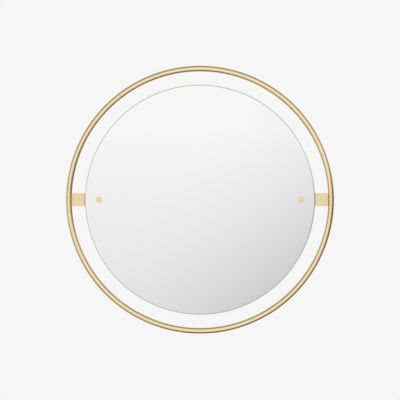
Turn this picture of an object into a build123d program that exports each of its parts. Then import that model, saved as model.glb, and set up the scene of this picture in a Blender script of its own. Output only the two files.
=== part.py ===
from build123d import *
import math
import os

# A round wall mirror that tilts inside a fixed brass ring.
# The ring stands off the wall on four posts. The mirror panel hangs in it on two pivots,
# one at each end of the horizontal diameter, and friction holds it at the angle it is set to.
#
# Frame: +Z is up, +Y points into the wall and the front faces -Y.
# The origin is the middle of the four wall fixings, on the face of the wall.
# All lengths are millimetres.

# Ring, bent from round brass tube in two halves
ring_outer_diameter = 600.0
tube_diameter = 13.0
tube_wall = 1.0
ring_off_wall = 48.0

# Mirror glass, with a polished bevel round its front edge
glass_to_ring_gap = 29.5
glass_thickness = 4.0
bevel_width = 2.0
bevel_depth = 1.0

# Foam tape between the glass and the back plate
tape_thickness = 1.0
tape_width = 12.0
tape_edge_margin = 4.0
inner_tape_radius = 120.0
outer_tape_strips = 10
inner_tape_strips = 6
tape_gap_angle = 12.0

# Back plate of anodised sheet aluminium
plate_inset = 7.5
plate_thickness = 2.0
plate_edge_round = 0.5

# Side brackets, one brass bar each, milled down to a leaf behind the glass
bracket_height = 28.0
leaf_thickness = 3.0
leaf_end_margin = 7.0
leaf_corner = 6.0
bracket_to_ring_gap = 0.7
glass_edge_gap = 1.0
bracket_edge_chamfer = 0.3

# Screws that hold the glass to the leaves, seen as two round caps on the front
glass_screw_from_edge = 31.3
glass_screw_diameter = 5.0
glass_screw_head_height = 2.2
glass_screw_slot_width = 1.2
glass_screw_slot_depth = 0.9
glass_screw_tip = 1.0
cap_diameter = 13.0
cap_front_wall = 1.0
cap_side_wall = 1.4
cap_edge_round = 1.0
cap_to_head_gap = 0.3
cap_stud_diameter = 3.0
cap_stud_length = 4.0
sleeve_wall = 1.8
sleeve_flange_thickness = 0.5
sleeve_flange_inset = 0.3
pad_width = 4.0
nut_across_flats = 8.0
nut_height = 2.7

# Countersunk screws that hold each leaf to the back plate
leaf_screw_diameter = 3.0
leaf_screw_head_diameter = 5.5
leaf_screw_side_offset = 8.0
leaf_screw_reach = 16.5
leaf_screw_tip_gap = 0.3
leaf_screw_hex = 2.0
leaf_screw_hex_depth = 1.0

# Bumpers that meet the wall first when the panel is tilted all the way
bumper_diameter = 10.0
bumper_height = 3.0
bumper_dome = 2.4
bumper_inset = 8.0
bumper_spread = 8.0

# Tilt pivots
pin_diameter = 5.0
pin_thread_diameter = 4.0
pin_thread_length = 12.0
bush_wall = 0.9
bush_end_gap = 0.2
boss_wall = 0.6
pivot_outer_skin = 1.6
block_half_angle = 4.0
washer_thickness = 1.4
washer_wall = 1.5
friction_screw_diameter = 5.0
friction_tip_diameter = 3.0
friction_shoulder_gap = 0.3
friction_screw_recess = 0.5
friction_screw_hex = 2.5
friction_screw_hex_depth = 1.2

# Posts between the ring and the wall
post_angle = 45.0
post_diameter = 12.0
post_saddle_depth = 2.5
post_end_chamfer = 0.4
anchor_length = 14.0
stud_diameter = 5.0
stud_in_post = 11.0
stud_in_anchor = 8.0

# Spigots screwed to the wall, which the posts slide on to
spigot_diameter = 8.0
spigot_length = 12.0
spigot_flange_thickness = 2.0
spigot_hole_diameter = 4.5
spigot_groove_depth = 1.0
wall_screw_head_room = 5.0
set_screw_diameter = 3.0
set_screw_hex = 1.5
set_screw_hex_depth = 1.1
set_screw_recess = 0.3

# Clearances, all on the radius or on one face
seat_clearance = 0.05
slide_clearance = 0.1
running_clearance = 0.03
blind_hole_end_gap = 0.5

# Radii, planes and stations worked out from the sizes above
tube_radius = tube_diameter / 2
ring_radius = ring_outer_diameter / 2 - tube_radius
ring_inner_radius = ring_radius - tube_radius
tube_bore_radius = tube_radius - tube_wall
glass_radius = ring_inner_radius - glass_to_ring_gap
plate_radius = glass_radius - plate_inset
bumper_radius = plate_radius - bumper_inset

bracket_thickness = glass_thickness + tape_thickness + plate_thickness + leaf_thickness
ring_plane = -ring_off_wall
glass_front = ring_plane - bracket_thickness / 2
glass_back = glass_front + glass_thickness
tape_back = glass_back + tape_thickness
plate_back = tape_back + plate_thickness
leaf_back = plate_back + leaf_thickness

bracket_outer_end = ring_inner_radius - bracket_to_ring_gap
bracket_step = glass_radius + glass_edge_gap
glass_screw_station = glass_radius - glass_screw_from_edge
leaf_inner_end = glass_screw_station - leaf_screw_reach - leaf_end_margin

glass_screw_radius = glass_screw_diameter / 2
sleeve_bore_radius = glass_screw_radius + slide_clearance
sleeve_outer_radius = sleeve_bore_radius + sleeve_wall
cap_radius = cap_diameter / 2
cap_bore_radius = cap_radius - cap_side_wall
cap_base = glass_front - sleeve_flange_thickness
screw_head_front = cap_base - glass_screw_head_height
cap_floor = screw_head_front - cap_to_head_gap
cap_front = cap_floor - cap_front_wall

pin_radius = pin_diameter / 2
bush_inner_radius = pin_radius + running_clearance
bush_outer_radius = bush_inner_radius + bush_wall
block_bore_radius = bush_outer_radius + seat_clearance
boss_radius = block_bore_radius + boss_wall
block_radius = tube_bore_radius - slide_clearance
block_bore_end = ring_radius + block_radius - pivot_outer_skin
pin_shoulder = ring_inner_radius - washer_thickness - 2 * seat_clearance
washer_outer_radius = bush_inner_radius + washer_wall

anchor_radius = tube_bore_radius - 2 * slide_clearance
post_radius = post_diameter / 2
post_wall_end = -spigot_flange_thickness
post_front_end = ring_plane + tube_radius - post_saddle_depth
saddle_half_angle = math.degrees(post_diameter / ring_radius)
saddle_bottom = ring_plane + tube_radius + seat_clearance
stud_front = ring_plane + block_radius - stud_in_anchor
stud_back = saddle_bottom + stud_in_post
spigot_tip = post_wall_end - spigot_length
post_bore_end = spigot_tip - wall_screw_head_room
set_screw_plane = (post_wall_end + spigot_tip) / 2
groove_radius = spigot_diameter / 2 - spigot_groove_depth

SIDES = {"right": 0.0, "left": 180.0}
CORNERS = {
    "upper_right": post_angle,
    "upper_left": 180.0 - post_angle,
    "lower_left": 180.0 + post_angle,
    "lower_right": 360.0 - post_angle,
}
TOWARDS_WALL = (0, 1, 0)
TOWARDS_FRONT = (0, -1, 0)
OUTWARDS = (1, 0, 0)


# Helpers. Every piece is modelled where it sits on the right-hand side and turned into place.
def on_ring(angle, piece):
    """Turns a piece from the right-hand side to that angle round the ring, anticlockwise from the front."""
    return Rot(0, -angle, 0) * piece


def rod(start, end, radius):
    """A plain cylinder from one point to another."""
    path = Vector(*end) - Vector(*start)
    return Solid.make_cylinder(radius, path.length, Plane(origin=start, z_dir=path))


def turned(outline, base, direction):
    """A lathe-turned solid. The outline's points are (distance from base along direction, radius)."""
    face = make_face(Polyline(*outline, close=True))
    return Plane(origin=base, x_dir=direction, z_dir=(0, 0, 1)) * revolve(face, Axis.X)


def hex_bar(across_flats, start, end):
    """A hexagonal bar from one point to another, as cut by a hex key or for a nut."""
    path = Vector(*end) - Vector(*start)
    outline = Plane(origin=start, z_dir=path) * RegularPolygon(across_flats / math.sqrt(3), 6)
    return extrude(outline, path.length, dir=path.normalized())


def bent_rod(radius, half_angle):
    """A round rod bent to the ring's centre line, centred on the right-hand side."""
    outline = Pos(ring_radius, ring_plane) * Circle(radius)
    return on_ring(half_angle, revolve(outline, Axis.Y, 2 * half_angle))


# Ring
def ring_half():
    """The lower half of the ring, notched at both ends for the pivots and drilled for two posts."""
    outline = Pos(ring_radius, ring_plane) * (Circle(tube_radius) - Circle(tube_bore_radius))
    tube = revolve(outline, Axis.Y, 180)
    boss_hole = rod(
        (ring_inner_radius - tube_wall, ring_plane, 0),
        (ring_radius, ring_plane, 0),
        boss_radius + slide_clearance,
    )
    friction_hole = rod(
        (ring_radius, ring_plane, 0),
        (ring_radius, ring_plane + tube_diameter, 0),
        friction_screw_diameter / 2 + slide_clearance,
    )
    stud_hole = rod(
        (ring_radius, ring_plane, 0),
        (ring_radius, ring_plane + tube_diameter, 0),
        stud_diameter / 2 + slide_clearance,
    )
    for angle in SIDES.values():
        tube -= on_ring(angle, boss_hole)
        tube -= on_ring(angle, friction_hole)
    for name, angle in CORNERS.items():
        if name.startswith("lower"):
            tube -= on_ring(angle, stud_hole)
    return tube


def pivot_block():
    """Joins the two half rings inside the tube, and its boss carries the pivot's bush."""
    block = bent_rod(block_radius, block_half_angle)
    block += rod((ring_inner_radius, ring_plane, 0), (ring_radius, ring_plane, 0), boss_radius)
    block -= rod(
        (ring_inner_radius - tube_wall, ring_plane, 0),
        (block_bore_end, ring_plane, 0),
        block_bore_radius,
    )
    block -= rod(
        (ring_radius, ring_plane, 0),
        (ring_radius, ring_plane + tube_diameter, 0),
        friction_screw_diameter / 2 + seat_clearance,
    )
    return block


def friction_bush():
    """A plain bush that the pivot pin turns in, with a side window for the friction screw."""
    start = ring_inner_radius + bush_end_gap
    end = block_bore_end - bush_end_gap
    bush = rod((start, ring_plane, 0), (end, ring_plane, 0), bush_outer_radius)
    bush -= rod((start, ring_plane, 0), (end, ring_plane, 0), bush_inner_radius)
    bush -= rod(
        (ring_radius, ring_plane, 0),
        (ring_radius, ring_plane + tube_radius, 0),
        friction_tip_diameter / 2 + slide_clearance,
    )
    return bush


def friction_screw():
    """A grub screw with a narrow soft tip, turned from behind to set how firmly the pin is held."""
    tip = pin_radius + seat_clearance
    shoulder = block_bore_radius + friction_shoulder_gap
    end = tube_radius - friction_screw_recess
    screw = turned(
        [
            (tip, 0),
            (tip, friction_tip_diameter / 2),
            (shoulder, friction_tip_diameter / 2),
            (shoulder, friction_screw_diameter / 2),
            (end, friction_screw_diameter / 2),
            (end, 0),
        ],
        (ring_radius, ring_plane, 0),
        TOWARDS_WALL,
    )
    return screw - hex_bar(
        friction_screw_hex,
        (ring_radius, ring_plane + end - friction_screw_hex_depth, 0),
        (ring_radius, ring_plane + tube_radius, 0),
    )


# Posts
def post_anchor():
    """A tapped barrel inside the tube, which the post's stud screws into."""
    half = anchor_length / 2
    barrel = rod((ring_radius, ring_plane, -half), (ring_radius, ring_plane, half), anchor_radius)
    return barrel - rod(
        (ring_radius, stud_front - blind_hole_end_gap, 0),
        (ring_radius, ring_plane + tube_radius, 0),
        stud_diameter / 2 + seat_clearance,
    )


def post_stud():
    """The headless screw that draws the post on to the tube."""
    return rod((ring_radius, stud_front, 0), (ring_radius, stud_back, 0), stud_diameter / 2)


def wall_post():
    """A brass post with a saddle for the tube at one end and a bore for the spigot at the other."""
    length = post_wall_end - post_front_end
    post = turned(
        [
            (0, 0),
            (0, post_radius - post_end_chamfer),
            (post_end_chamfer, post_radius),
            (length, post_radius),
            (length, 0),
        ],
        (ring_radius, post_wall_end, 0),
        TOWARDS_FRONT,
    )
    post -= bent_rod(tube_radius + seat_clearance, saddle_half_angle)
    post -= rod(
        (ring_radius, ring_plane, 0),
        (ring_radius, stud_back + blind_hole_end_gap, 0),
        stud_diameter / 2 + seat_clearance,
    )
    post -= rod(
        (ring_radius, post_wall_end, 0),
        (ring_radius, post_bore_end, 0),
        spigot_diameter / 2 + seat_clearance,
    )
    return post - rod(
        (ring_radius, set_screw_plane, 0),
        (ring_radius + post_diameter, set_screw_plane, 0),
        set_screw_diameter / 2 + seat_clearance,
    )


def wall_spigot():
    """A flanged spigot held to the wall by one screw, grooved for the post's set screw."""
    radius = spigot_diameter / 2
    flange = spigot_flange_thickness
    hole = spigot_hole_diameter / 2
    groove = -set_screw_plane
    tip = -spigot_tip
    return turned(
        [
            (0, hole),
            (0, post_radius),
            (flange, post_radius),
            (flange, radius),
            (groove - spigot_groove_depth, radius),
            (groove, groove_radius),
            (groove + spigot_groove_depth, radius),
            (tip, radius),
            (tip, hole),
        ],
        (ring_radius, 0, 0),
        TOWARDS_FRONT,
    )


def post_set_screw():
    """A cone-pointed grub screw that locks the post in the spigot's groove."""
    radius = set_screw_diameter / 2
    tip = groove_radius + seat_clearance
    end = post_radius - set_screw_recess
    screw = turned(
        [(tip, 0), (tip + radius, radius), (end, radius), (end, 0)],
        (ring_radius, set_screw_plane, 0),
        OUTWARDS,
    )
    return screw - hex_bar(
        set_screw_hex,
        (ring_radius + end - set_screw_hex_depth, set_screw_plane, 0),
        (ring_radius + post_radius, set_screw_plane, 0),
    )


# Mirror panel
def mirror_glass():
    """The round glass, bevelled at the front and drilled for its two screws."""
    glass = turned(
        [
            (0, 0),
            (0, glass_radius - bevel_width),
            (bevel_depth, glass_radius),
            (glass_thickness, glass_radius),
            (glass_thickness, 0),
        ],
        (0, glass_front, 0),
        TOWARDS_WALL,
    )
    screw_hole = rod(
        (glass_screw_station, glass_front, 0),
        (glass_screw_station, glass_back, 0),
        sleeve_outer_radius + slide_clearance,
    )
    for angle in SIDES.values():
        glass -= on_ring(angle, screw_hole)
    return glass


def tape_strip(outer_radius, strips):
    """One curved strip of a broken ring of foam tape, centred on the right-hand side."""
    half_angle = (360.0 / strips - tape_gap_angle) / 2
    middle = (glass_back + tape_back) / 2
    outline = Pos(outer_radius - tape_width / 2, middle) * Rectangle(tape_width, tape_thickness)
    return on_ring(half_angle, revolve(outline, Axis.Y, 2 * half_angle))


def foam_tape():
    """Two broken rings of foam tape. The outer one leaves gaps at the glass screws."""
    outer = tape_strip(plate_radius - tape_edge_margin, outer_tape_strips)
    inner = tape_strip(inner_tape_radius, inner_tape_strips)
    outer_step = 360.0 / outer_tape_strips
    inner_step = 360.0 / inner_tape_strips
    strips = [on_ring((n + 0.5) * outer_step, outer) for n in range(outer_tape_strips)]
    strips += [on_ring(n * inner_step, inner) for n in range(inner_tape_strips)]
    return Compound(strips)


def leaf_screw_places():
    """Where the countersunk screws of one leaf stand: (x, z), two on each side of the glass screw."""
    return [
        (glass_screw_station + along, side)
        for along in (-leaf_screw_reach, leaf_screw_reach)
        for side in (-leaf_screw_side_offset, leaf_screw_side_offset)
    ]


def back_plate():
    """The plate bonded behind the glass, drilled for the glass screws and tapped for the leaves."""
    plate = rod((0, tape_back, 0), (0, plate_back, 0), plate_radius)
    plate = fillet(plate.edges().filter_by(GeomType.CIRCLE), plate_edge_round)
    glass_hole = rod(
        (glass_screw_station, glass_back, 0),
        (glass_screw_station, leaf_back, 0),
        sleeve_bore_radius,
    )
    leaf_holes = [
        rod((x, glass_back, z), (x, leaf_back, z), leaf_screw_diameter / 2 + seat_clearance)
        for x, z in leaf_screw_places()
    ]
    for angle in SIDES.values():
        plate -= on_ring(angle, glass_hole)
        for hole in leaf_holes:
            plate -= on_ring(angle, hole)
    return plate


def side_bracket():
    """The brass tab between ring and glass, milled down to a leaf behind the back plate."""
    bar = Pos((bracket_step + bracket_outer_end) / 2, ring_plane, 0) * Box(
        bracket_outer_end - bracket_step, bracket_thickness, bracket_height
    )
    bar = chamfer(bar.edges(), bracket_edge_chamfer)
    leaf_root = (bracket_step + bracket_outer_end) / 2
    leaf = Pos((leaf_inner_end + leaf_root) / 2, (plate_back + leaf_back) / 2, 0) * Box(
        leaf_root - leaf_inner_end, leaf_thickness, bracket_height
    )
    leaf = fillet(leaf.edges().filter_by(Axis.Y).group_by(Axis.X)[0], leaf_corner)
    leaf = chamfer(leaf.faces().sort_by(Axis.Y)[-1].edges(), bracket_edge_chamfer)
    bracket = bar + leaf
    bracket -= rod(
        (pin_shoulder, ring_plane, 0),
        (ring_radius, ring_plane, 0),
        washer_outer_radius + slide_clearance,
    )
    bracket -= rod(
        (pin_shoulder - pin_thread_length - blind_hole_end_gap, ring_plane, 0),
        (ring_radius, ring_plane, 0),
        pin_thread_diameter / 2 + seat_clearance,
    )
    bracket -= rod(
        (glass_screw_station, plate_back, 0),
        (glass_screw_station, leaf_back, 0),
        glass_screw_radius + seat_clearance,
    )
    for x, z in leaf_screw_places():
        bracket -= leaf_screw_shape(seat_clearance, x, z, plate_back)
    return bracket


def leaf_screw_shape(clearance, x, z, tip):
    """A countersunk screw seated flush in the leaf, or the hole for it where clearance is added."""
    radius = leaf_screw_diameter / 2 + clearance
    head = leaf_screw_head_diameter / 2 + clearance
    return turned(
        [(0, 0), (0, head), (head - radius, radius), (leaf_back - tip, radius), (leaf_back - tip, 0)],
        (x, leaf_back, z),
        TOWARDS_FRONT,
    )


def bracket_screws():
    """The countersunk hex screws of one leaf."""
    screws = []
    for x, z in leaf_screw_places():
        screw = leaf_screw_shape(0, x, z, tape_back + leaf_screw_tip_gap)
        screw -= hex_bar(leaf_screw_hex, (x, leaf_back - leaf_screw_hex_depth, z), (x, leaf_back, z))
        screws.append(screw)
    return Compound(screws)


def bumpers():
    """Two domed bumpers near the top of the back plate."""
    base = plate_back
    dome = rod((bumper_radius, base, 0), (bumper_radius, base + bumper_height, 0), bumper_diameter / 2)
    dome = fillet(dome.edges().sort_by(Axis.Y)[-1], bumper_dome)
    return Compound([on_ring(90 + side * bumper_spread, dome) for side in (-1, 1)])


# Tilt pivot, panel side
def pivot_pin():
    """A shouldered pin screwed into the bracket's end, whose journal turns in the bush."""
    end = block_bore_end - bush_end_gap - blind_hole_end_gap
    return turned(
        [
            (-pin_thread_length, 0),
            (-pin_thread_length, pin_thread_diameter / 2),
            (0, pin_thread_diameter / 2),
            (0, pin_radius),
            (end - pin_shoulder, pin_radius),
            (end - pin_shoulder, 0),
        ],
        (pin_shoulder, ring_plane, 0),
        OUTWARDS,
    )


def thrust_washer():
    """The plain washer between the bracket and the ring's boss."""
    start = pin_shoulder + seat_clearance
    end = ring_inner_radius - seat_clearance
    washer = rod((start, ring_plane, 0), (end, ring_plane, 0), washer_outer_radius)
    return washer - rod((start, ring_plane, 0), (end, ring_plane, 0), pin_radius + slide_clearance)


# Glass fixing
def glass_sleeve():
    """A flanged sleeve through the glass, which keeps the screw and the cap off it."""
    flange = cap_radius - sleeve_flange_inset
    thickness = sleeve_flange_thickness
    return turned(
        [
            (0, sleeve_bore_radius),
            (0, flange),
            (thickness, flange),
            (thickness, sleeve_outer_radius),
            (thickness + glass_thickness, sleeve_outer_radius),
            (thickness + glass_thickness, sleeve_bore_radius),
        ],
        (glass_screw_station, cap_base, 0),
        TOWARDS_WALL,
    )


def glass_pad():
    """A firm ring between glass and plate, so that the screw can't crush the foam."""
    return turned(
        [
            (0, sleeve_bore_radius),
            (0, sleeve_bore_radius + pad_width),
            (tape_thickness, sleeve_bore_radius + pad_width),
            (tape_thickness, sleeve_bore_radius),
        ],
        (glass_screw_station, glass_back, 0),
        TOWARDS_WALL,
    )


def glass_screw():
    """A slotted screw with a tapped head, from the front of the glass to the lock nut."""
    head_radius = cap_bore_radius - cap_to_head_gap
    length = leaf_back + nut_height + glass_screw_tip - screw_head_front
    screw = turned(
        [
            (0, 0),
            (0, head_radius),
            (glass_screw_head_height, head_radius),
            (glass_screw_head_height, glass_screw_radius),
            (length, glass_screw_radius),
            (length, 0),
        ],
        (glass_screw_station, screw_head_front, 0),
        TOWARDS_WALL,
    )
    screw -= Pos(glass_screw_station, screw_head_front + glass_screw_slot_depth / 2, 0) * Box(
        2 * head_radius, glass_screw_slot_depth, glass_screw_slot_width
    )
    return screw - rod(
        (glass_screw_station, screw_head_front, 0),
        (glass_screw_station, cap_floor + cap_stud_length + blind_hole_end_gap, 0),
        cap_stud_diameter / 2 + seat_clearance,
    )


def screw_cap():
    """The round brass cap over the screw's head, with the stud that holds it."""
    cap = rod((glass_screw_station, cap_base, 0), (glass_screw_station, cap_front, 0), cap_radius)
    cap = fillet(cap.edges().sort_by(Axis.Y)[0], cap_edge_round)
    cap -= rod(
        (glass_screw_station, cap_base, 0),
        (glass_screw_station, cap_floor, 0),
        cap_bore_radius,
    )
    return cap + rod(
        (glass_screw_station, cap_floor - cap_front_wall / 2, 0),
        (glass_screw_station, cap_floor + cap_stud_length, 0),
        cap_stud_diameter / 2,
    )


def lock_nut():
    """The hexagon nut behind the leaf, with its corners turned off."""
    start = (glass_screw_station, leaf_back, 0)
    end = (glass_screw_station, leaf_back + nut_height, 0)
    corner = nut_across_flats / math.sqrt(3)
    corner_chamfer = corner - nut_across_flats / 2
    blank = turned(
        [
            (0, 0),
            (0, corner),
            (nut_height - corner_chamfer, corner),
            (nut_height, corner - corner_chamfer),
            (nut_height, 0),
        ],
        start,
        TOWARDS_WALL,
    )
    nut = hex_bar(nut_across_flats, start, end) & blank
    return nut - rod(start, end, glass_screw_radius + seat_clearance)


# Every node, by name
lower_half = ring_half()
pieces = {
    "ring_tube_lower": lower_half,
    "ring_tube_upper": on_ring(180, lower_half),
    "mirror_glass": mirror_glass(),
    "foam_tape": foam_tape(),
    "back_plate": back_plate(),
    "bumpers_upper": bumpers(),
    "bumpers_lower": on_ring(180, bumpers()),
}
for make in (
    pivot_block,
    friction_bush,
    friction_screw,
    side_bracket,
    pivot_pin,
    thrust_washer,
    glass_sleeve,
    glass_pad,
    glass_screw,
    screw_cap,
    lock_nut,
    bracket_screws,
):
    piece = make()
    for side, angle in SIDES.items():
        pieces[f"{make.__name__}_{side}"] = on_ring(angle, piece)
for make in (post_anchor, post_stud, wall_post, wall_spigot, post_set_screw):
    piece = make()
    for corner, angle in CORNERS.items():
        pieces[f"{make.__name__}_{corner}"] = on_ring(angle, piece)

os.makedirs("parts", exist_ok=True)
for name, piece in pieces.items():
    export_step(piece, f"parts/{name}.step")
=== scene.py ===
import math

import bmesh
import bpy
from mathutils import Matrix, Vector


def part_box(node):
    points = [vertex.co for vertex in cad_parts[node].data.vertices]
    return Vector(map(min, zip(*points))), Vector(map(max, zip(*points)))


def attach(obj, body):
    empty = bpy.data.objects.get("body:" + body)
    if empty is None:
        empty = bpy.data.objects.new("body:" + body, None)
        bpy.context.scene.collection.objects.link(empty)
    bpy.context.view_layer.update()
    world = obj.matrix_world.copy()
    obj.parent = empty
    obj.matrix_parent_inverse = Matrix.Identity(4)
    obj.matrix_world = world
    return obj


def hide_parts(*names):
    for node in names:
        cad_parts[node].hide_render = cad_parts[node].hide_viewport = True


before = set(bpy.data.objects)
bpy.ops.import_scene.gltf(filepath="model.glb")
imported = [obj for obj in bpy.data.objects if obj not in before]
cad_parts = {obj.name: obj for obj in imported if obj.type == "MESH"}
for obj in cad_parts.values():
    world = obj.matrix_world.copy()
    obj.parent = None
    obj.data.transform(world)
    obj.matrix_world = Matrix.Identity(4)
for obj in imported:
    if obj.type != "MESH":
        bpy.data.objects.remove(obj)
bpy.context.view_layer.update()

# Half rings: two half circles bent from round brass tube, which meet end to end at the tilt pivots.
# Each is notched inside for the pivots and drilled behind for its screws, then polished along the
# tube and lacquered.
tube_low, tube_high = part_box("ring_tube_lower")
tube_radius = (tube_high.y - tube_low.y) / 2
tube_wall = 0.001
ring_plane = (tube_high.y + tube_low.y) / 2
ring_radius = tube_high.x - tube_radius
boss_hole_radius = 0.00418
screw_hole_radius = 0.0026
post_turn = math.radians(45)
RING_STEPS = 257
TUBE_STEPS = 48
MERGE_DISTANCE = 1e-6
CREASE = math.radians(30)
AT_ORIGIN = (0.0, 0.0, 0.0)


def operator(operation, swapped=False):
    """An operator between two values that adds one Math node."""

    def worked(self, other):
        pair = (other, self) if swapped else (self, other)
        return self.tree.node("ShaderNodeMath", {"operation": operation}, dict(enumerate(pair)))

    return worked


class Wire:
    """A value on its way from one node to the next. Sums written with wires add their own nodes."""

    def __init__(self, tree, socket):
        self.tree = tree
        self.socket = socket

    __add__ = operator("ADD")
    __radd__ = operator("ADD", swapped=True)
    __sub__ = operator("SUBTRACT")
    __rsub__ = operator("SUBTRACT", swapped=True)
    __mul__ = operator("MULTIPLY")
    __rmul__ = operator("MULTIPLY", swapped=True)
    __truediv__ = operator("DIVIDE")
    __rtruediv__ = operator("DIVIDE", swapped=True)
    __pow__ = operator("POWER")
    __gt__ = operator("GREATER_THAN")
    __lt__ = operator("LESS_THAN")
    angle_to = operator("ARCTAN2")
    lesser = operator("MINIMUM")
    greater = operator("MAXIMUM")

    def worked(self, operation):
        """This value put through a Math node that takes one number, such as SINE."""
        return self.tree.node("ShaderNodeMath", {"operation": operation}, {0: self})

    def __abs__(self):
        return self.worked("ABSOLUTE")

    def out(self, name):
        """Another output of the node that this value comes from."""
        return Wire(self.tree, self.socket.node.outputs[name])


class Tree:
    """A node tree that is being wired up."""

    def __init__(self, tree):
        self.tree = tree

    def node(self, kind, settings=None, sockets=None, out=0):
        """Adds a node: its settings first, then what each of its sockets gets."""
        made = self.tree.nodes.new(kind)
        for name, value in (settings or {}).items():
            setattr(made, name, value)
        for name, value in (sockets or {}).items():
            self.feed(made.inputs[name], value)
        return Wire(self, made.outputs[out])

    def feed(self, socket, value):
        """Gives a socket one wire, a list of wires, or a plain value."""
        if isinstance(value, Wire):
            self.tree.links.new(value.socket, socket)
        elif isinstance(value, list):
            for wire in value:
                self.tree.links.new(wire.socket, socket)
        else:
            socket.default_value = value

    def vector(self, x, y, z):
        return self.node("ShaderNodeCombineXYZ", {}, {"X": x, "Y": y, "Z": z})

    def rise(self, value, start, end):
        """Goes smoothly from 0 to 1 while the value goes from start to end."""
        return self.node(
            "ShaderNodeMapRange",
            {"interpolation_type": "SMOOTHSTEP"},
            {"Value": value, "From Min": start, "From Max": end},
        )

    def colour(self, share, first, second):
        """A colour between two others."""
        return self.node("ShaderNodeMix", {"data_type": "RGBA"}, {0: share, 6: first, 7: second}, out=2)


class Finish(Tree):
    """The material of one kind of surface, made of nodes round a single shader."""

    def __init__(self, name, constants):
        self.material = bpy.data.materials.new(name)
        self.material.use_nodes = True
        super().__init__(self.material.node_tree)
        self.shader = self.tree.nodes["Principled BSDF"]
        self.place = self.node("ShaderNodeTexCoord", out="Object")
        self.x = self.node("ShaderNodeSeparateXYZ", {}, {0: self.place})
        self.y = self.x.out("Y")
        self.z = self.x.out("Z")
        self.give(constants)

    def give(self, sockets):
        """Feeds the shader's own sockets."""
        for name, value in sockets.items():
            self.feed(self.shader.inputs[name], value)

    def noise(self, place, scale, detail=2.0):
        """A cloudy value from 0 to 1, with about that many lumps to each unit of place."""
        return self.node("ShaderNodeTexNoise", {}, {"Vector": place, "Scale": scale, "Detail": detail})

    def relief(self, height, depth):
        """Bumps the surface by that many metres where the height is 1."""
        bumped = self.node("ShaderNodeBump", {}, {"Height": height, "Distance": depth, "Strength": 1.0})
        self.give({"Normal": bumped})


class Shape(Tree):
    """A geometry tree with named sizes, which is run once for each plain mesh made from it."""

    def __init__(self, name, sizes):
        super().__init__(bpy.data.node_groups.new(name, "GeometryNodeTree"))
        sockets = self.tree.interface
        sockets.new_socket("Geometry", in_out="OUTPUT", socket_type="NodeSocketGeometry")
        self.keys = {
            size: sockets.new_socket(size, in_out="INPUT", socket_type="NodeSocketFloat").identifier
            for size in sizes
        }
        inputs = self.tree.nodes.new("NodeGroupInput")
        self.size = {size: Wire(self, inputs.outputs[size]) for size in sizes}

    def arc(self, radius, start, sweep, points, plane):
        """Part of a circle about the Y axis, seen from the front, anticlockwise from +X."""
        flat = self.node(
            "GeometryNodeCurveArc",
            {"mode": "RADIUS"},
            {"Resolution": points, "Radius": radius, "Start Angle": start, "Sweep Angle": sweep},
        )
        return self.moved(flat, self.vector(0.0, plane, 0.0), (math.pi / 2, 0.0, 0.0))

    def moved(self, geometry, by, turn=AT_ORIGIN):
        """The geometry turned about the origin first, and then moved."""
        return self.node(
            "GeometryNodeTransform", {}, {"Geometry": geometry, "Translation": by, "Rotation": turn}
        )

    def copies(self, points, piece):
        """The piece once at each point, as real geometry."""
        placed = self.node("GeometryNodeInstanceOnPoints", {}, {"Points": points, "Instance": piece})
        return self.node("GeometryNodeRealizeInstances", {}, {0: placed})

    def rod(self, radius, length, sides=32, rows=1, rings=1):
        """An upright cylinder about its own middle, with rows up its side and rings on its ends."""
        return self.node("GeometryNodeMeshCylinder", {}, {
            "Vertices": sides,
            "Side Segments": rows,
            "Fill Segments": rings,
            "Radius": radius,
            "Depth": length,
        })

    def places(self):
        """The x, y and z of each point."""
        x = self.node("ShaderNodeSeparateXYZ", {}, {0: self.node("GeometryNodeInputPosition")})
        return x, x.out("Y"), x.out("Z")

    def put(self, geometry, x, y, z, where=True):
        """Gives the points new places, only where the last value says so."""
        return self.node(
            "GeometryNodeSetPosition",
            {},
            {"Geometry": geometry, "Selection": where, "Position": self.vector(x, y, z)},
        )

    def without(self, geometry, cutters):
        """The geometry with the cutters' space taken out."""
        return self.node(
            "GeometryNodeMeshBoolean",
            {"operation": "DIFFERENCE", "solver": "EXACT"},
            {"Mesh 1": geometry, "Mesh 2": cutters},
        )

    def close(self, geometry, finish):
        """Ends the tree: smooth faces, with a sharp edge where two meet at more than the crease angle."""
        smooth = self.node("GeometryNodeSetShadeSmooth", {"domain": "FACE"}, {"Geometry": geometry})
        angle = self.node("GeometryNodeInputMeshEdgeAngle")
        creased = self.node(
            "GeometryNodeSetShadeSmooth",
            {"domain": "EDGE"},
            {"Geometry": smooth, "Selection": angle > CREASE, "Shade Smooth": False},
        )
        real = self.node("GeometryNodeRealizeInstances", {}, {0: creased})
        dressed = self.node("GeometryNodeSetMaterial", {}, {"Geometry": real, "Material": finish.material})
        self.feed(self.tree.nodes.new("NodeGroupOutput").inputs[0], dressed)

    def run(self, name, sizes):
        """Runs the tree with these sizes and returns a plain mesh object."""
        piece = bpy.data.objects.new(name, bpy.data.meshes.new(name))
        bpy.context.scene.collection.objects.link(piece)
        modifier = piece.modifiers.new(name, "NODES")
        modifier.node_group = self.tree
        for size, value in sizes.items():
            modifier[self.keys[size]] = float(value)
        return settled(piece)


def settled(piece):
    """Turns what the piece's modifiers make into its own mesh."""
    evaluated = piece.evaluated_get(bpy.context.evaluated_depsgraph_get())
    mesh = bpy.data.meshes.new_from_object(evaluated)
    piece.modifiers.clear()
    piece.data = mesh
    return piece


def fit(piece, body, slot, *nodes):
    """Puts a finished piece on its body, in place of the nodes it stands for."""
    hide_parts(*nodes)
    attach(piece, body)


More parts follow.
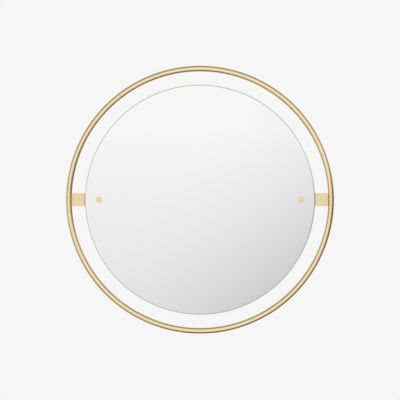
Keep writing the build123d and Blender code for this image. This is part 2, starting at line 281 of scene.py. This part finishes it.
def brass(name, grain_of, roughness, grain_depth, tones):
    """Lacquered brass in two tones. Its grain follows the way it was polished, which grain_of gives
    as coordinates. It has wide patches a little deeper in tone, and small dulled spots."""
    finish = Finish(name, {"Metallic": 1.0, "Coat Weight": 0.2, "Coat Roughness": 0.1})
    grain = finish.noise(grain_of(finish), 1.0, 3.0)
    patches = finish.rise(finish.noise(finish.place, 14.0), 0.35, 0.7)
    dulled = finish.rise(finish.noise(finish.place, 90.0, 4.0), 0.5, 0.8)
    finish.give({
        "Base Color": finish.colour(patches * 0.45 + grain * 0.25, *tones),
        "Roughness": grain * 0.05 + patches * 0.02 + dulled * 0.03 + roughness,
    })
    finish.relief(grain, grain_depth)
    return finish


PALE_BRASS = ((0.96, 0.79, 0.475, 1.0), (0.91, 0.72, 0.41, 1.0))


def along_tube(finish):
    """Coordinates that change slowly along the ring's tube and fast across it."""
    reach = (finish.x * finish.x + finish.z * finish.z) ** 0.5
    along = finish.z.angle_to(finish.x) * ring_radius
    return finish.vector(along * 30.0, (reach - ring_radius) * 4000.0, (finish.y - ring_plane) * 4000.0)


def half_ring():
    """The tree for one half ring: a bent tube with its notches and holes."""
    shape = Shape(
        "bent tube",
        ["Ring Radius", "Tube Radius", "Wall", "Plane", "Start", "Boss Hole", "Screw Hole", "Post Turn"],
    )
    size = shape.size
    path = shape.arc(size["Ring Radius"], size["Start"], math.pi, RING_STEPS, size["Plane"])
    section = shape.node(
        "GeometryNodeCurvePrimitiveCircle", {}, {"Resolution": TUBE_STEPS, "Radius": size["Tube Radius"]}
    )
    outside = shape.node("GeometryNodeCurveToMesh", {}, {"Curve": path, "Profile Curve": section})
    pushed_in = shape.node(
        "GeometryNodeExtrudeMesh",
        {},
        {"Mesh": outside, "Offset Scale": size["Wall"] * -1.0, "Individual": False},
    )
    inside = shape.node("GeometryNodeFlipFaces", {}, {"Mesh": pushed_in})
    tube = shape.node("GeometryNodeJoinGeometry", {}, {0: [outside, inside]})
    tube = shape.node("GeometryNodeMergeByDistance", {}, {"Geometry": tube, "Distance": MERGE_DISTANCE})
    one_wall = size["Tube Radius"] * 1.6
    towards_wall = (math.pi / 2, 0.0, 0.0)
    outwards = (0.0, math.pi / 2, 0.0)
    tube_back = size["Plane"] + size["Tube Radius"]
    ends = shape.arc(size["Ring Radius"], size["Start"], math.pi, 2, tube_back)
    between_posts = math.pi - size["Post Turn"] * 2.0
    first_post = size["Start"] + size["Post Turn"]
    posts = shape.arc(size["Ring Radius"], first_post, between_posts, 2, tube_back)
    inner_ends = shape.arc(
        size["Ring Radius"] - size["Tube Radius"], size["Start"], math.pi, 2, size["Plane"]
    )
    screw_hole = shape.moved(shape.rod(size["Screw Hole"], one_wall), AT_ORIGIN, towards_wall)
    boss_hole = shape.moved(shape.rod(size["Boss Hole"], one_wall, TUBE_STEPS), AT_ORIGIN, outwards)
    drilled = shape.without(tube, [
        shape.copies(ends, screw_hole),
        shape.copies(posts, screw_hole),
        shape.copies(inner_ends, boss_hole),
    ])
    shape.close(drilled, brass("polished brass, along the tube", along_tube, 0.12, 2e-6, PALE_BRASS))
    return shape


ring_shape = half_ring()
for half, start in (("upper", 0.0), ("lower", math.pi)):
    tube = ring_shape.run(f"half_ring_{half}", {
        "Ring Radius": ring_radius,
        "Tube Radius": tube_radius,
        "Wall": tube_wall,
        "Plane": ring_plane,
        "Start": start,
        "Boss Hole": boss_hole_radius,
        "Screw Hole": screw_hole_radius,
        "Post Turn": post_turn,
    })
    fit(tube, "ring_frame", "polished_brass", f"ring_tube_{half}")


# Pivot blocks, bushes and friction screws: a bent brass block joins the half rings at each side, and
# its boss holds a plastic bush. A black grub screw from behind presses a soft tip on the pivot pin.
def dress(finish, *names):
    """Gives nodes that keep their own shape a finish. A name stands for every node that starts with it."""
    for node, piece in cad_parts.items():
        if node.startswith(names):
            piece.material_slots[0].material = finish.material


def steel(name, light, dark, roughness, metallic=1.0):
    """Plated or blackened steel, with the cloudy patches that a bath leaves and a fine tool grain."""
    finish = Finish(name, {"Metallic": metallic})
    cloud = finish.rise(finish.noise(finish.place, 260.0, 3.0), 0.35, 0.65)
    grain = finish.noise(finish.place, 2600.0, 2.0)
    finish.give({
        "Base Color": finish.colour(cloud * 0.8 + grain * 0.2, light, dark),
        "Roughness": cloud * 0.1 + grain * 0.08 + roughness,
    })
    finish.relief(grain, 4e-6)
    return finish


def plastic(name, light, dark, roughness, grain_scale, grain_depth):
    """Moulded plastic or rubber with a fine grain from the mould."""
    finish = Finish(name, {"Specular IOR Level": 0.45})
    cloud = finish.noise(finish.place, 120.0, 2.0)
    grain = finish.noise(finish.place, grain_scale, 2.0)
    finish.give({
        "Base Color": finish.colour(cloud, light, dark),
        "Roughness": cloud * 0.08 + grain * 0.08 + roughness,
    })
    finish.relief(grain, grain_depth)
    return finish


def as_cut(finish):
    """Coordinates of a plain sawn and filed grain, the same each way."""
    return finish.node("ShaderNodeVectorMath", {"operation": "MULTIPLY"}, {0: finish.place, 1: (900.0,) * 3})


BRUSHED_BRASS = ((0.90, 0.715, 0.425, 1.0), (0.85, 0.65, 0.36, 1.0))
raw_brass = brass("brass, as filed", as_cut, 0.3, 6e-6, BRUSHED_BRASS)
black_steel = steel("blackened steel", (0.05, 0.05, 0.055, 1.0), (0.025, 0.025, 0.03, 1.0), 0.38, 0.85)
acetal = plastic("white acetal", (0.80, 0.79, 0.75, 1.0), (0.74, 0.73, 0.69, 1.0), 0.36, 2400.0, 3e-6)
dress(raw_brass, "pivot_block")
dress(acetal, "friction_bush")
dress(black_steel, "friction_screw")


# Posts and their fixings: four turned brass posts hold the ring off the wall, each drawn on to the
# tube by a steel stud in a brass anchor. They slide on to zinc-plated spigots that are screwed to
# the wall, and a black set screw locks each.
def along_post(finish):
    """Coordinates of the fine rings that turning leaves round a post that runs into the wall."""
    return finish.vector(finish.x * 120.0, finish.y * 9000.0, finish.z * 120.0)


zinc = steel("zinc-plated steel", (0.72, 0.74, 0.77, 1.0), (0.58, 0.60, 0.63, 1.0), 0.3)
dress(raw_brass, "post_anchor")
dress(brass("polished brass, as turned", along_post, 0.14, 1.5e-6, PALE_BRASS), "wall_post")
dress(zinc, "post_stud", "wall_spigot")
dress(black_steel, "post_set_screw")


# Mirror glass: a round of 4 mm float glass with a narrow polished bevel, drilled for its two screws.
# It is silvered behind and sealed with grey backing paint.
glass_low, glass_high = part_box("mirror_glass")
glass_radius = glass_high.x
glass_front = glass_low.y
glass_back = glass_high.y
bevel_width = 0.002
bevel_depth = 0.001
arris = 0.0002
sleeve_low, sleeve_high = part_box("glass_sleeve_right")
glass_screw_station = (sleeve_low.x + sleeve_high.x) / 2
glass_hole_radius = 0.0045
hole_margin = 0.001
GLASS_STEPS = 360
HOLE_STEPS = 48
GLASS_CREASE = math.radians(15)
SIDES = (("left", -1), ("right", 1))
SILVERED, POLISHED_EDGE, PAINTED = range(3)


def turned(name, middle, outline, finishes, steps, crease=CREASE):
    """A solid turned about an axis that runs into the wall. The outline goes from the front to the
    back, and each of its points is (depth, radius, number of the finish from there on). The corners
    stand half a step off the horizontal, so that holes drilled on it don't run along an edge."""
    work = bmesh.new()
    angles = [2 * math.pi * (n + 0.5) / steps for n in range(steps)]
    rows = []
    for depth, radius, _ in outline:
        around = angles if radius > 0 else angles[:1]
        rows.append([
            work.verts.new((middle + radius * math.cos(a), depth, radius * math.sin(a))) for a in around
        ])
    for row, following, point in zip(rows, rows[1:], outline):
        for n in range(steps):
            corners = [row[n % len(row)], following[n % len(following)]]
            corners += [following[(n + 1) % len(following)], row[(n + 1) % len(row)]]
            face = work.faces.new(list(dict.fromkeys(corners)))
            face.smooth = True
            face.material_index = point[2]
    mesh = bpy.data.meshes.new(name)
    work.to_mesh(mesh)
    work.free()
    mesh.set_sharp_from_angle(angle=crease)
    for finish in finishes:
        mesh.materials.append(finish.material)
    piece = bpy.data.objects.new(name, mesh)
    bpy.context.scene.collection.objects.link(piece)
    return piece


def drill(piece, cutters, crease):
    """Takes the cutters' space out of the piece."""
    for cutter in cutters:
        modifier = piece.modifiers.new("hole", "BOOLEAN")
        modifier.object = cutter
        modifier.solver = "EXACT"
    settled(piece).data.set_sharp_from_angle(angle=crease)
    for cutter in cutters:
        bpy.data.objects.remove(cutter)


def silvered_glass():
    """The silvering seen through the glass: almost clean, a little darker towards the rim."""
    finish = Finish("silvered glass", {"Metallic": 1.0})
    rim_width = 0.006
    clean = (0.95, 0.95, 0.95, 1.0)
    dim = (0.92, 0.93, 0.925, 1.0)
    reach = (finish.x * finish.x + finish.z * finish.z) ** 0.5
    rim = finish.rise(reach, glass_radius - rim_width, glass_radius - bevel_width)
    haze = finish.rise(finish.noise(finish.place, 7.0, 5.0), 0.45, 0.8)
    finish.give({
        "Base Color": finish.colour(rim * 0.5 + haze * 0.1, clean, dim),
        "Roughness": haze * 0.012 + 0.004,
    })
    return finish


def polished_edge():
    """The bevel and edge of the glass, where its grey-green body shows."""
    finish = Finish("polished glass edge", {"Metallic": 0.75, "Coat Weight": 0.6, "Coat Roughness": 0.05})
    ripple = finish.noise(finish.place, 340.0, 3.0)
    finish.give({
        "Base Color": finish.colour(ripple, (0.75, 0.78, 0.77, 1.0), (0.70, 0.73, 0.72, 1.0)),
        "Roughness": ripple * 0.12 + 0.08,
    })
    finish.relief(ripple, 8e-6)
    return finish


def backing_paint():
    """The grey paint that seals the silver, with its slight orange peel."""
    finish = Finish("grey backing paint", {"Specular IOR Level": 0.4})
    cloud = finish.noise(finish.place, 30.0, 3.0)
    peel = finish.noise(finish.place, 900.0, 2.0)
    finish.give({
        "Base Color": finish.colour(cloud, (0.25, 0.26, 0.27, 1.0), (0.21, 0.22, 0.23, 1.0)),
        "Roughness": peel * 0.15 + 0.42,
    })
    finish.relief(peel, 2e-5)
    return finish


glass_finishes = (silvered_glass(), polished_edge(), backing_paint())
glass = turned(
    "silvered_mirror_glass",
    0.0,
    [
        (glass_front, 0.0, SILVERED),
        (glass_front, glass_radius - bevel_width, POLISHED_EDGE),
        (glass_front + bevel_depth, glass_radius, POLISHED_EDGE),
        (glass_back - arris, glass_radius, POLISHED_EDGE),
        (glass_back, glass_radius - arris, PAINTED),
        (glass_back, 0.0, PAINTED),
    ],
    glass_finishes,
    GLASS_STEPS,
    GLASS_CREASE,
)
hole_outline = [
    (glass_front - hole_margin, 0.0, POLISHED_EDGE),
    (glass_front - hole_margin, glass_hole_radius, POLISHED_EDGE),
    (glass_back + hole_margin, glass_hole_radius, POLISHED_EDGE),
    (glass_back + hole_margin, 0.0, POLISHED_EDGE),
]
holes = [
    turned(f"hole_{name}", side * glass_screw_station, hole_outline, glass_finishes, HOLE_STEPS)
    for name, side in SIDES
]
drill(glass, holes, GLASS_CREASE)
fit(glass, "mirror_panel", "silvered_glass", "mirror_glass")


# Foam tape, pads and back plate: grey closed-cell tape bonds the glass to a disc of sheet aluminium,
# brushed one way and anodised black. A nylon pad by each glass screw takes the screw's grip.
plate_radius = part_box("back_plate")[1].x
plate_rim = 0.0012


def foam():
    """Closed-cell foam: matt, with cells a fraction of a millimetre across."""
    finish = Finish("grey foam tape", {"Specular IOR Level": 0.2})
    cells = finish.node("ShaderNodeTexVoronoi", {}, {"Vector": finish.place, "Scale": 3500.0})
    finish.give({
        "Base Color": finish.colour(cells, (0.10, 0.10, 0.105, 1.0), (0.16, 0.16, 0.165, 1.0)),
        "Roughness": cells * 0.1 + 0.85,
    })
    finish.relief(cells, 6e-5)
    return finish


def anodised():
    """Brushed aluminium, anodised black, a little worn along its rim."""
    finish = Finish("black anodised aluminium", {"Metallic": 0.6})
    brushed = finish.noise(finish.vector(finish.x * 12.0, finish.y * 1500.0, finish.z * 1800.0), 1.0, 4.0)
    cloud = finish.rise(finish.noise(finish.place, 9.0, 3.0), 0.35, 0.7)
    reach = (finish.x * finish.x + finish.z * finish.z) ** 0.5
    worn = finish.noise(finish.place, 60.0, 3.0)
    rubbed = finish.rise(reach, plate_radius - plate_rim, plate_radius) * worn
    dark = (0.040, 0.040, 0.043, 1.0)
    lighter = (0.062, 0.062, 0.066, 1.0)
    bare = (0.30, 0.30, 0.31, 1.0)
    black = finish.colour(brushed * 0.6 + cloud * 0.4, dark, lighter)
    finish.give({
        "Base Color": finish.colour(rubbed * 0.6, black, bare),
        "Roughness": brushed * 0.16 + cloud * 0.06 + 0.32,
    })
    finish.relief(brushed, 4e-6)
    return finish


nylon = plastic("natural nylon", (0.72, 0.70, 0.64, 1.0), (0.66, 0.64, 0.57, 1.0), 0.42, 1800.0, 3e-6)
dress(foam(), "foam_tape")
dress(nylon, "glass_pad")
dress(anodised(), "back_plate")


# Side brackets and their screws: each tab is one brass bar, brushed along its length and milled down
# to a leaf behind the plate. Four black countersunk socket screws hold each leaf.
def along_bar(finish):
    """Coordinates that change slowly along the brackets' bars and fast across them."""
    return finish.vector(finish.x * 45.0, finish.y * 4500.0, finish.z * 4500.0)


dress(brass("brushed brass, along the bar", along_bar, 0.26, 3e-6, BRUSHED_BRASS), "side_bracket")

screws_low, screws_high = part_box("bracket_screws_right")
leaf_screw_radius = 0.0015
leaf_screw_head_radius = 0.00275
leaf_screw_hexagon = 0.002
leaf_screw_socket_depth = 0.001
LEAF_SCREW_STEPS = 40
LEAF_SCREW_ROWS = 24
TIP_TO_WALL = (-math.pi / 2, 0.0, 0.0)


def countersunk_screws():
    """The tree for four countersunk screws with hexagon sockets, one at each corner of a rectangle."""
    shape = Shape(
        "countersunk screws",
        ["Head Radius", "Radius", "Length", "Hexagon", "Socket Depth", "Width", "Height", "Middle", "Plane"],
    )
    size = shape.size
    blank = shape.rod(1.0, size["Length"], LEAF_SCREW_STEPS, LEAF_SCREW_ROWS)
    x, y, z = shape.places()
    below_head = size["Length"] / 2.0 - z
    radius = (size["Head Radius"] - below_head).greater(size["Radius"])
    screw = shape.put(blank, x * radius, y * radius, below_head * -1.0)
    socket = shape.rod(size["Hexagon"] / math.sqrt(3), size["Socket Depth"] * 2.0, 6)
    screw = shape.moved(shape.without(screw, [socket]), AT_ORIGIN, TIP_TO_WALL)
    corners = shape.node(
        "GeometryNodeMeshGrid",
        {},
        {"Size X": size["Width"], "Size Y": size["Height"], "Vertices X": 2, "Vertices Y": 2},
    )
    corners = shape.moved(corners, shape.vector(size["Middle"], size["Plane"], 0.0), TIP_TO_WALL)
    shape.close(shape.copies(corners, screw), black_steel)
    return shape


leaf_screw_shape = countersunk_screws()
for name, side in SIDES:
    screws = leaf_screw_shape.run(f"countersunk_screws_{name}", {
        "Head Radius": leaf_screw_head_radius,
        "Radius": leaf_screw_radius,
        "Length": screws_high.y - screws_low.y,
        "Hexagon": leaf_screw_hexagon,
        "Socket Depth": leaf_screw_socket_depth,
        "Width": screws_high.x - screws_low.x - 2 * leaf_screw_head_radius,
        "Height": screws_high.z - screws_low.z - 2 * leaf_screw_head_radius,
        "Middle": side * (screws_low.x + screws_high.x) / 2,
        "Plane": screws_high.y,
    })
    fit(screws, "mirror_panel", "black_steel", f"bracket_screws_{name}")


# Sleeves, glass screws and nuts: a plated screw with a rolled thread passes through a plastic sleeve
# in the glass and through the leaf, and a lock nut holds it behind. The slotted head, inside the cap,
# is tapped for the cap's stud.
dress(acetal, "glass_sleeve")
dress(zinc, "lock_nut")

glass_screw_low, glass_screw_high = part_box("glass_screw_right")
glass_screw_head_height = 0.0022
glass_screw_radius = 0.0025
glass_screw_tip_chamfer = 0.0004
glass_screw_pitch = 0.0008
glass_screw_thread_depth = 0.00043
glass_screw_slot_width = 0.0012
glass_screw_slot_depth = 0.0009
stud_hole_radius = 0.00155
stud_hole_depth = 0.0042
SHANK_STEPS = 36
SHANK_ROWS = 200
HEAD_STEPS = 64


def slotted_screw():
    """The tree for one threaded screw with a slotted head and a blind hole for the cap's stud."""
    shape = Shape("slotted screw", [
        "Head Radius", "Head Height", "Radius", "Length", "Tip Chamfer", "Pitch", "Thread Depth",
        "Slot Width", "Slot Depth", "Hole Radius", "Hole Depth", "Middle", "Plane",
    ])
    size = shape.size
    shank = shape.rod(1.0, size["Length"], SHANK_STEPS, SHANK_ROWS)
    x, y, z = shape.places()
    turns = z / size["Pitch"] - y.angle_to(x) / (2 * math.pi)
    groove = abs(turns.worked("FRACT") - 0.5) * 2.0
    threaded = size["Radius"] - size["Thread Depth"] * groove
    chamfered = size["Radius"] - size["Tip Chamfer"] + (size["Length"] / 2.0 - z)
    radius = threaded.lesser(chamfered)
    shank = shape.put(shank, x * radius, y * radius, z)
    head_front = size["Length"] * -0.5
    head = shape.rod(size["Head Radius"], size["Head Height"], HEAD_STEPS)
    head = shape.moved(head, shape.vector(0.0, 0.0, head_front + size["Head Height"] / 2.0))
    whole = shape.node(
        "GeometryNodeMeshBoolean", {"operation": "UNION", "solver": "EXACT"}, {"Mesh 2": [head, shank]}
    )
    slot_size = shape.vector(size["Head Radius"] * 3.0, size["Slot Width"], size["Slot Depth"] * 2.0)
    slot = shape.node("GeometryNodeMeshCube", {}, {"Size": slot_size})
    hole = shape.rod(size["Hole Radius"], size["Hole Depth"] * 2.0, HOLE_STEPS)
    cutters = [shape.moved(cutter, shape.vector(0.0, 0.0, head_front)) for cutter in (slot, hole)]
    place = shape.vector(size["Middle"], size["Plane"] - head_front, 0.0)
    shape.close(shape.moved(shape.without(whole, cutters), place, TIP_TO_WALL), zinc)
    return shape


glass_screw_shape = slotted_screw()
for name, side in SIDES:
    screw = glass_screw_shape.run(f"threaded_glass_screw_{name}", {
        "Head Radius": (glass_screw_high.x - glass_screw_low.x) / 2,
        "Head Height": glass_screw_head_height,
        "Radius": glass_screw_radius,
        "Length": glass_screw_high.y - glass_screw_low.y,
        "Tip Chamfer": glass_screw_tip_chamfer,
        "Pitch": glass_screw_pitch,
        "Thread Depth": glass_screw_thread_depth,
        "Slot Width": glass_screw_slot_width,
        "Slot Depth": glass_screw_slot_depth,
        "Hole Radius": stud_hole_radius,
        "Hole Depth": stud_hole_depth,
        "Middle": side * glass_screw_station,
        "Plane": glass_screw_low.y,
    })
    fit(screw, "mirror_panel", "zinc_plated_steel", f"glass_screw_{name}")


# Screw caps: two round brass caps turned from bar, slightly crowned, with a rounded rim. Each hides a
# screw head and screws into it with a short stud.
cap_low, cap_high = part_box("screw_cap_right")
cap_radius = (cap_high.x - cap_low.x) / 2
cap_front = cap_low.y
cap_stud_end = cap_high.y
cap_base = sleeve_low.y
cap_face_thickness = 0.001
cap_floor = cap_front + cap_face_thickness
CAP_STEPS = 72
cap_crown = 0.00012
cap_rim_round = 0.001
cap_bore_radius = 0.0051
cap_stud_radius = 0.0015
CURVE_STEPS = 10


def round_cap(name, side):
    """One cap: a shallow crown, a rounded rim, a straight skirt, and the stud inside."""
    flat_radius = cap_radius - cap_rim_round
    crown = [
        (cap_front + cap_crown * (n / CURVE_STEPS) ** 2, flat_radius * n / CURVE_STEPS, 0)
        for n in range(CURVE_STEPS)
    ]
    rim_centre = cap_front + cap_crown + cap_rim_round
    quarter = [math.pi / 2 * n / CURVE_STEPS for n in range(CURVE_STEPS + 1)]
    rim = [
        (rim_centre - cap_rim_round * math.cos(a), flat_radius + cap_rim_round * math.sin(a), 0)
        for a in quarter
    ]
    inside = [
        (cap_base, cap_radius, 0),
        (cap_base, cap_bore_radius, 0),
        (cap_floor, cap_bore_radius, 0),
        (cap_floor, cap_stud_radius, 0),
        (cap_stud_end, cap_stud_radius, 0),
        (cap_stud_end, 0.0, 0),
    ]
    outline = crown + rim + inside
    return turned(f"round_cap_{name}", side * glass_screw_station, outline, [turned_brass], CAP_STEPS)


def round_the_cap(finish):
    """Coordinates that change fast outwards from a cap's middle and slowly round it."""
    across = abs(finish.x) - glass_screw_station
    reach = (across * across + finish.z * finish.z) ** 0.5
    return finish.vector(reach * 9000.0, finish.y * 300.0, finish.z.angle_to(across) * 0.6)


TURNED_BRASS = ((0.93, 0.75, 0.46, 1.0), (0.88, 0.69, 0.40, 1.0))
turned_brass = brass("brushed brass, as turned", round_the_cap, 0.22, 2e-6, TURNED_BRASS)
for name, side in SIDES:
    fit(round_cap(name, side), "mirror_panel", "satin_brass", f"screw_cap_{name}")


# Bumpers: four domed buttons of black rubber, stuck to the plate in two pairs, at its top and its
# bottom. They meet the wall when the mirror is tilted all the way.
bumper_low, bumper_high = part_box("bumpers_upper")
bumper_diameter = 0.010
bumper_height = bumper_high.y - bumper_low.y
bumper_spread = math.radians(8)
bumper_reach = 0.242
DOME_STEPS = 48
DOME_RINGS = 12
dome_fullness_out = 0.6
dome_fullness_up = 0.45


def bumper_pair():
    """The tree for a pair of domed buttons, on an arc about the middle of the plate."""
    shape = Shape("pair of buttons", ["Radius", "Height", "Reach", "Towards", "Spread", "Plane"])
    size = shape.size
    radius = size["Radius"]
    height = size["Height"]
    blank = shape.rod(radius, height, DOME_STEPS, 1, DOME_RINGS)
    x, y, z = shape.places()
    reach = (x * x + y * y) ** 0.5
    turn = reach / radius * (math.pi / 2)
    spread = radius * turn.worked("SINE") ** dome_fullness_out / reach.greater(1e-6)
    rise = height * turn.worked("COSINE").greater(0.0) ** dome_fullness_up
    dome = shape.put(blank, x * spread, y * spread, rise - height / 2.0, where=z > 0.0)
    dome = shape.node("GeometryNodeMergeByDistance", {}, {"Geometry": dome, "Distance": MERGE_DISTANCE})
    dome = shape.moved(dome, AT_ORIGIN, TIP_TO_WALL)
    centres = shape.arc(
        size["Reach"], size["Towards"] - size["Spread"], size["Spread"] * 2.0, 2, size["Plane"]
    )
    rubber = plastic(
        "black rubber", (0.030, 0.030, 0.032, 1.0), (0.045, 0.045, 0.047, 1.0), 0.6, 1500.0, 2e-5
    )
    shape.close(shape.copies(centres, dome), rubber)
    return shape


bumper_shape = bumper_pair()
for place, towards in (("upper", math.pi / 2), ("lower", 3 * math.pi / 2)):
    pair = bumper_shape.run(f"bumper_pair_{place}", {
        "Radius": bumper_diameter / 2,
        "Height": bumper_height,
        "Reach": bumper_reach,
        "Towards": towards,
        "Spread": bumper_spread,
        "Plane": (bumper_low.y + bumper_high.y) / 2,
    })
    fit(pair, "mirror_panel", "bumper_rubber", f"bumpers_{place}")


# Pivot pins and washers: a ground stainless pin is screwed into the end of each bracket and turns in
# the bush. A plain black nylon washer keeps the bracket off the ring. Its black is partly painted
# shade: it stands in for the shade in the narrow gap between each bracket and the ring.
stainless = steel("ground stainless steel", (0.64, 0.63, 0.61, 1.0), (0.58, 0.57, 0.55, 1.0), 0.2)
# The washers' black nylon is partly painted shade for the gap between each bracket and the ring.
black_nylon_as_gap_shade = plastic(
    "black nylon", (0.035, 0.034, 0.033, 1.0), (0.050, 0.048, 0.046, 1.0), 0.42, 1800.0, 3e-6
)
dress(stainless, "pivot_pin")
dress(black_nylon_as_gap_shade, "thrust_washer")


# Floor, light and camera: a pale studio floor well below the mirror, soft light from above and from
# both sides, and a long lens straight in front. A grey screen that only mirrors see stands between
# them, and gives the glass the shade that it has in the photograph.
def studio_object(name, data, place, turn=AT_ORIGIN):
    """Something in the studio that isn't part of the mirror."""
    made = bpy.data.objects.new(name, data)
    made.location = place
    made.rotation_euler = turn
    bpy.context.scene.collection.objects.link(made)
    return made


def flat_sheet(name, width):
    """A square of that width about its own middle."""
    mesh = bpy.data.meshes.new(name)
    half = width / 2
    corners = [(-half, -half, 0), (half, -half, 0), (half, half, 0), (-half, half, 0)]
    mesh.from_pydata(corners, [], [(0, 1, 2, 3)])
    return mesh


floor_height = -1.2
floor_width = 12.0
floor_fade_start = 1.5
floor_fade_end = 5.8
floor = studio_object("floor", flat_sheet("floor", floor_width), (0.0, 0.0, floor_height))
floor.visible_glossy = False
pale_floor = Finish("pale floor", {"Specular IOR Level": 0.2, "Roughness": 0.7})
mottle = pale_floor.noise(pale_floor.place, 3.0)
from_middle = (pale_floor.x * pale_floor.x + pale_floor.y * pale_floor.y) ** 0.5
pale_floor.give({
    "Base Color": pale_floor.colour(mottle, (0.90, 0.90, 0.90, 1.0), (0.88, 0.88, 0.88, 1.0)),
    "Alpha": 1.0 - pale_floor.rise(from_middle, floor_fade_start, floor_fade_end),
})
floor.data.materials.append(pale_floor.material)

FACING_MIRROR = (math.pi / 2, 0.0, 0.0)
camera_lens = 500.0
camera_sensor = 36.0
frame_width = 0.8955
camera_height = -0.0007
camera_distance = frame_width * camera_lens / camera_sensor
camera_data = bpy.data.cameras.new("camera")
camera_data.lens = camera_lens
camera_data.sensor_width = camera_sensor
camera_data.clip_end = 60.0
camera_place = (0.0, ring_plane - camera_distance, camera_height)
camera = studio_object("camera", camera_data, camera_place, FACING_MIRROR)
bpy.context.scene.camera = camera

# The screen's shade is measured where its image lies on the glass. It is white at the top, and falls
# below a level line and beyond a slanting one towards the lower right.
screen_distance = 6.0
screen_scale = (camera_distance + screen_distance) / camera_distance
screen_width = 1.3
white = 0.97
low_shade_top = 0.16
low_shade = 0.39
corner_slant = 0.8
corner_start = -0.125
corner_shade = 0.9
screen_clear_radius = 0.27
screen_outer_radius = 0.42
screen_place = (0.0, ring_plane - screen_distance, camera_height)
screen = studio_object("grey_screen", flat_sheet("grey_screen", screen_width), screen_place, FACING_MIRROR)
screen.visible_camera = False
screen.visible_diffuse = False
screen.visible_shadow = False
screen_finish = Finish("grey screen", {"Base Color": (0.0, 0.0, 0.0, 1.0), "Specular IOR Level": 0.0})
across = screen_finish.x / screen_scale
up = screen_finish.y / screen_scale
lower = (low_shade_top - up).greater(0.0) * low_shade
corner = (across - up * corner_slant - corner_start).greater(0.0) ** 2.0 * corner_shade
shade = white - lower - corner
reach = (across * across + up * up) ** 0.5
screen_finish.give({
    "Emission Color": screen_finish.vector(shade, shade, shade),
    "Emission Strength": 1.0,
    "Alpha": 1.0 - screen_finish.rise(reach, screen_clear_radius, screen_outer_radius),
})
screen.data.materials.append(screen_finish.material)


def soft_lamp(name, place, power):
    """A large square lamp that faces the mirror and lights it without showing in the metal."""
    data = bpy.data.lights.new(name, "AREA")
    data.size = 1.8
    data.energy = power
    lamp = studio_object(name, data, place)
    lamp.rotation_euler = (-lamp.location).to_track_quat("-Z", "Y").to_euler()
    lamp.visible_glossy = False


soft_lamp("key_lamp", (-1.8, -2.6, 2.2), 42.0)
soft_lamp("rear_lamp", (1.6, 2.8, 1.8), 30.0)

# What polished metal and glass see round them: white in front, pale behind, dim and a little warm at
# the sides, darkest towards the lower right, with a dark flag at the right, just below level.
side_light = 0.32
level_light = 0.13
corner_dark = 0.2
rear_light = 0.82
flag_dark = 0.45
flag_drop = 0.1
flag_warmth = 0.7
level_whiteness = 0.85
soft_light_level = 0.80
soft_light_slope = 0.12
WARM = (1.0, 0.86, 0.68, 1.0)
WHITE = (1.0, 1.0, 1.0, 1.0)
backdrop_grey = 0.9216
diagonal = math.sqrt(0.5)
world = bpy.data.worlds.new("studio")
world.use_nodes = True
bpy.context.scene.world = world
world.node_tree.nodes.clear()
sky = Tree(world.node_tree)
east = sky.node("ShaderNodeSeparateXYZ", {}, {0: sky.node("ShaderNodeTexCoord", out="Generated")})
back = east.out("Y")
top = east.out("Z")
lower_right = (east - top) * diagonal
level = 1.0 - sky.rise(abs(top), 0.25, 0.6)
beside = level * level_light + side_light - sky.rise(lower_right, 0.25, 0.7) * corner_dark
ahead = sky.rise(back * -1.0, 0.25, 0.95)
behind = sky.rise(back, 0.4, 0.9)
flag = sky.rise(east, 0.2, 0.6) * (1.0 - sky.rise(abs(top + flag_drop), 0.1, 0.36))
unflagged = beside + (white - beside) * ahead + (rear_light - beside) * behind
seen_in_metal = unflagged * (1.0 - flag * flag_dark)
whiteness = (ahead + behind + level * level_whiteness).lesser(1.0) * (1.0 - flag * flag_warmth)
metal_light = sky.node(
    "ShaderNodeBackground", {}, {"Color": sky.colour(whiteness, WARM, WHITE), "Strength": seen_in_metal}
)
soft_strength = top * soft_light_slope + soft_light_level
soft_light = sky.node("ShaderNodeBackground", {}, {"Color": WHITE, "Strength": soft_strength})
backdrop = sky.node(
    "ShaderNodeBackground", {}, {"Color": (backdrop_grey,) * 3 + (1.0,), "Strength": 1.0}
)
ray = sky.node("ShaderNodeLightPath")
seen_by_metal = ray.out("Is Glossy Ray").greater(ray.out("Is Transmission Ray"))
light = sky.node("ShaderNodeMixShader", {}, {0: seen_by_metal, 1: soft_light, 2: metal_light})
light = sky.node("ShaderNodeMixShader", {}, {0: ray.out("Is Camera Ray"), 1: light, 2: backdrop})
sky.feed(world.node_tree.nodes.new("ShaderNodeOutputWorld").inputs["Surface"], light)
bpy.context.scene.view_settings.view_transform = "Standard"


# The scene is brought up to date.
bpy.context.view_layer.update()
